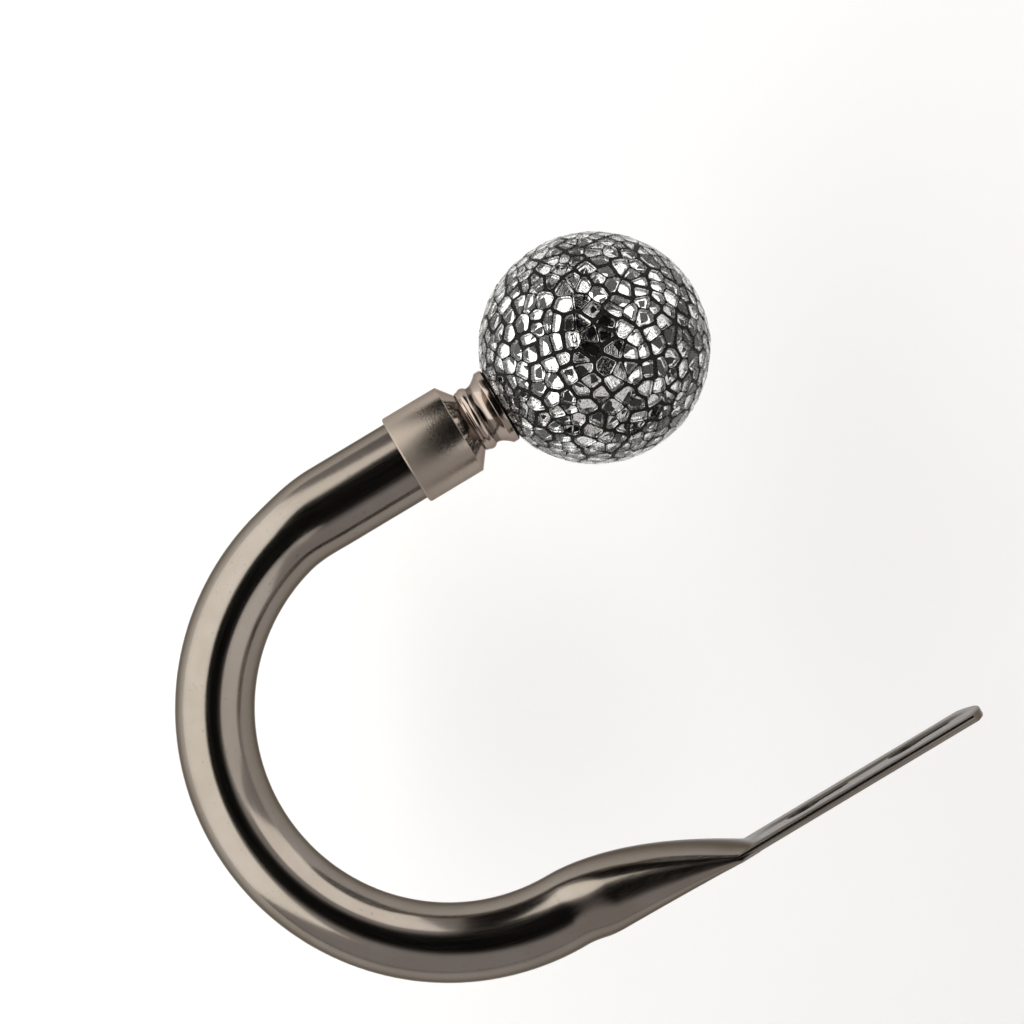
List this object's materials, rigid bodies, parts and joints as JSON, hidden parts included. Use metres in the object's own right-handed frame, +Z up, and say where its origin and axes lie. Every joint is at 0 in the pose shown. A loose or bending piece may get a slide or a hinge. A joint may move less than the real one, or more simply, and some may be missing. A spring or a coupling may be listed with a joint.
{
  "type": "curtain holdback",
  "caption": "Wall-fixed curtain holdback: a U-bent tube on a flattened keyhole tongue, ending in a turned collar and a mirror-glass mosaic ball.",
  "frame": {"origin": "on the tongue's back face, which lies on the wall, halfway between the heads of the two keyholes", "axes": "+Y into the wall, so the holdback stands out towards -Y; the U lies flat in the XY plane and opens towards -X; +Z is up"},
  "size_m": [0.1865, 0.1609, 0.06],
  "materials": {
    "black_nickel": "polished black nickel plating on steel tube",
    "satin_nickel": "satin black nickel plating on a die-cast collar",
    "plain_steel": "plain zinc-plated steel",
    "black_grout": "black grout over a moulded ball",
    "mirror_glass": "broken mirror-backed glass"
  },
  "bodies": {
    "root": {"arm_tube": "black_nickel", "finial_collar": "satin_nickel", "finial_stud": "plain_steel", "ball_core": "black_grout", "mosaic_chips": "mirror_glass"}
  },
  "joints": []
}
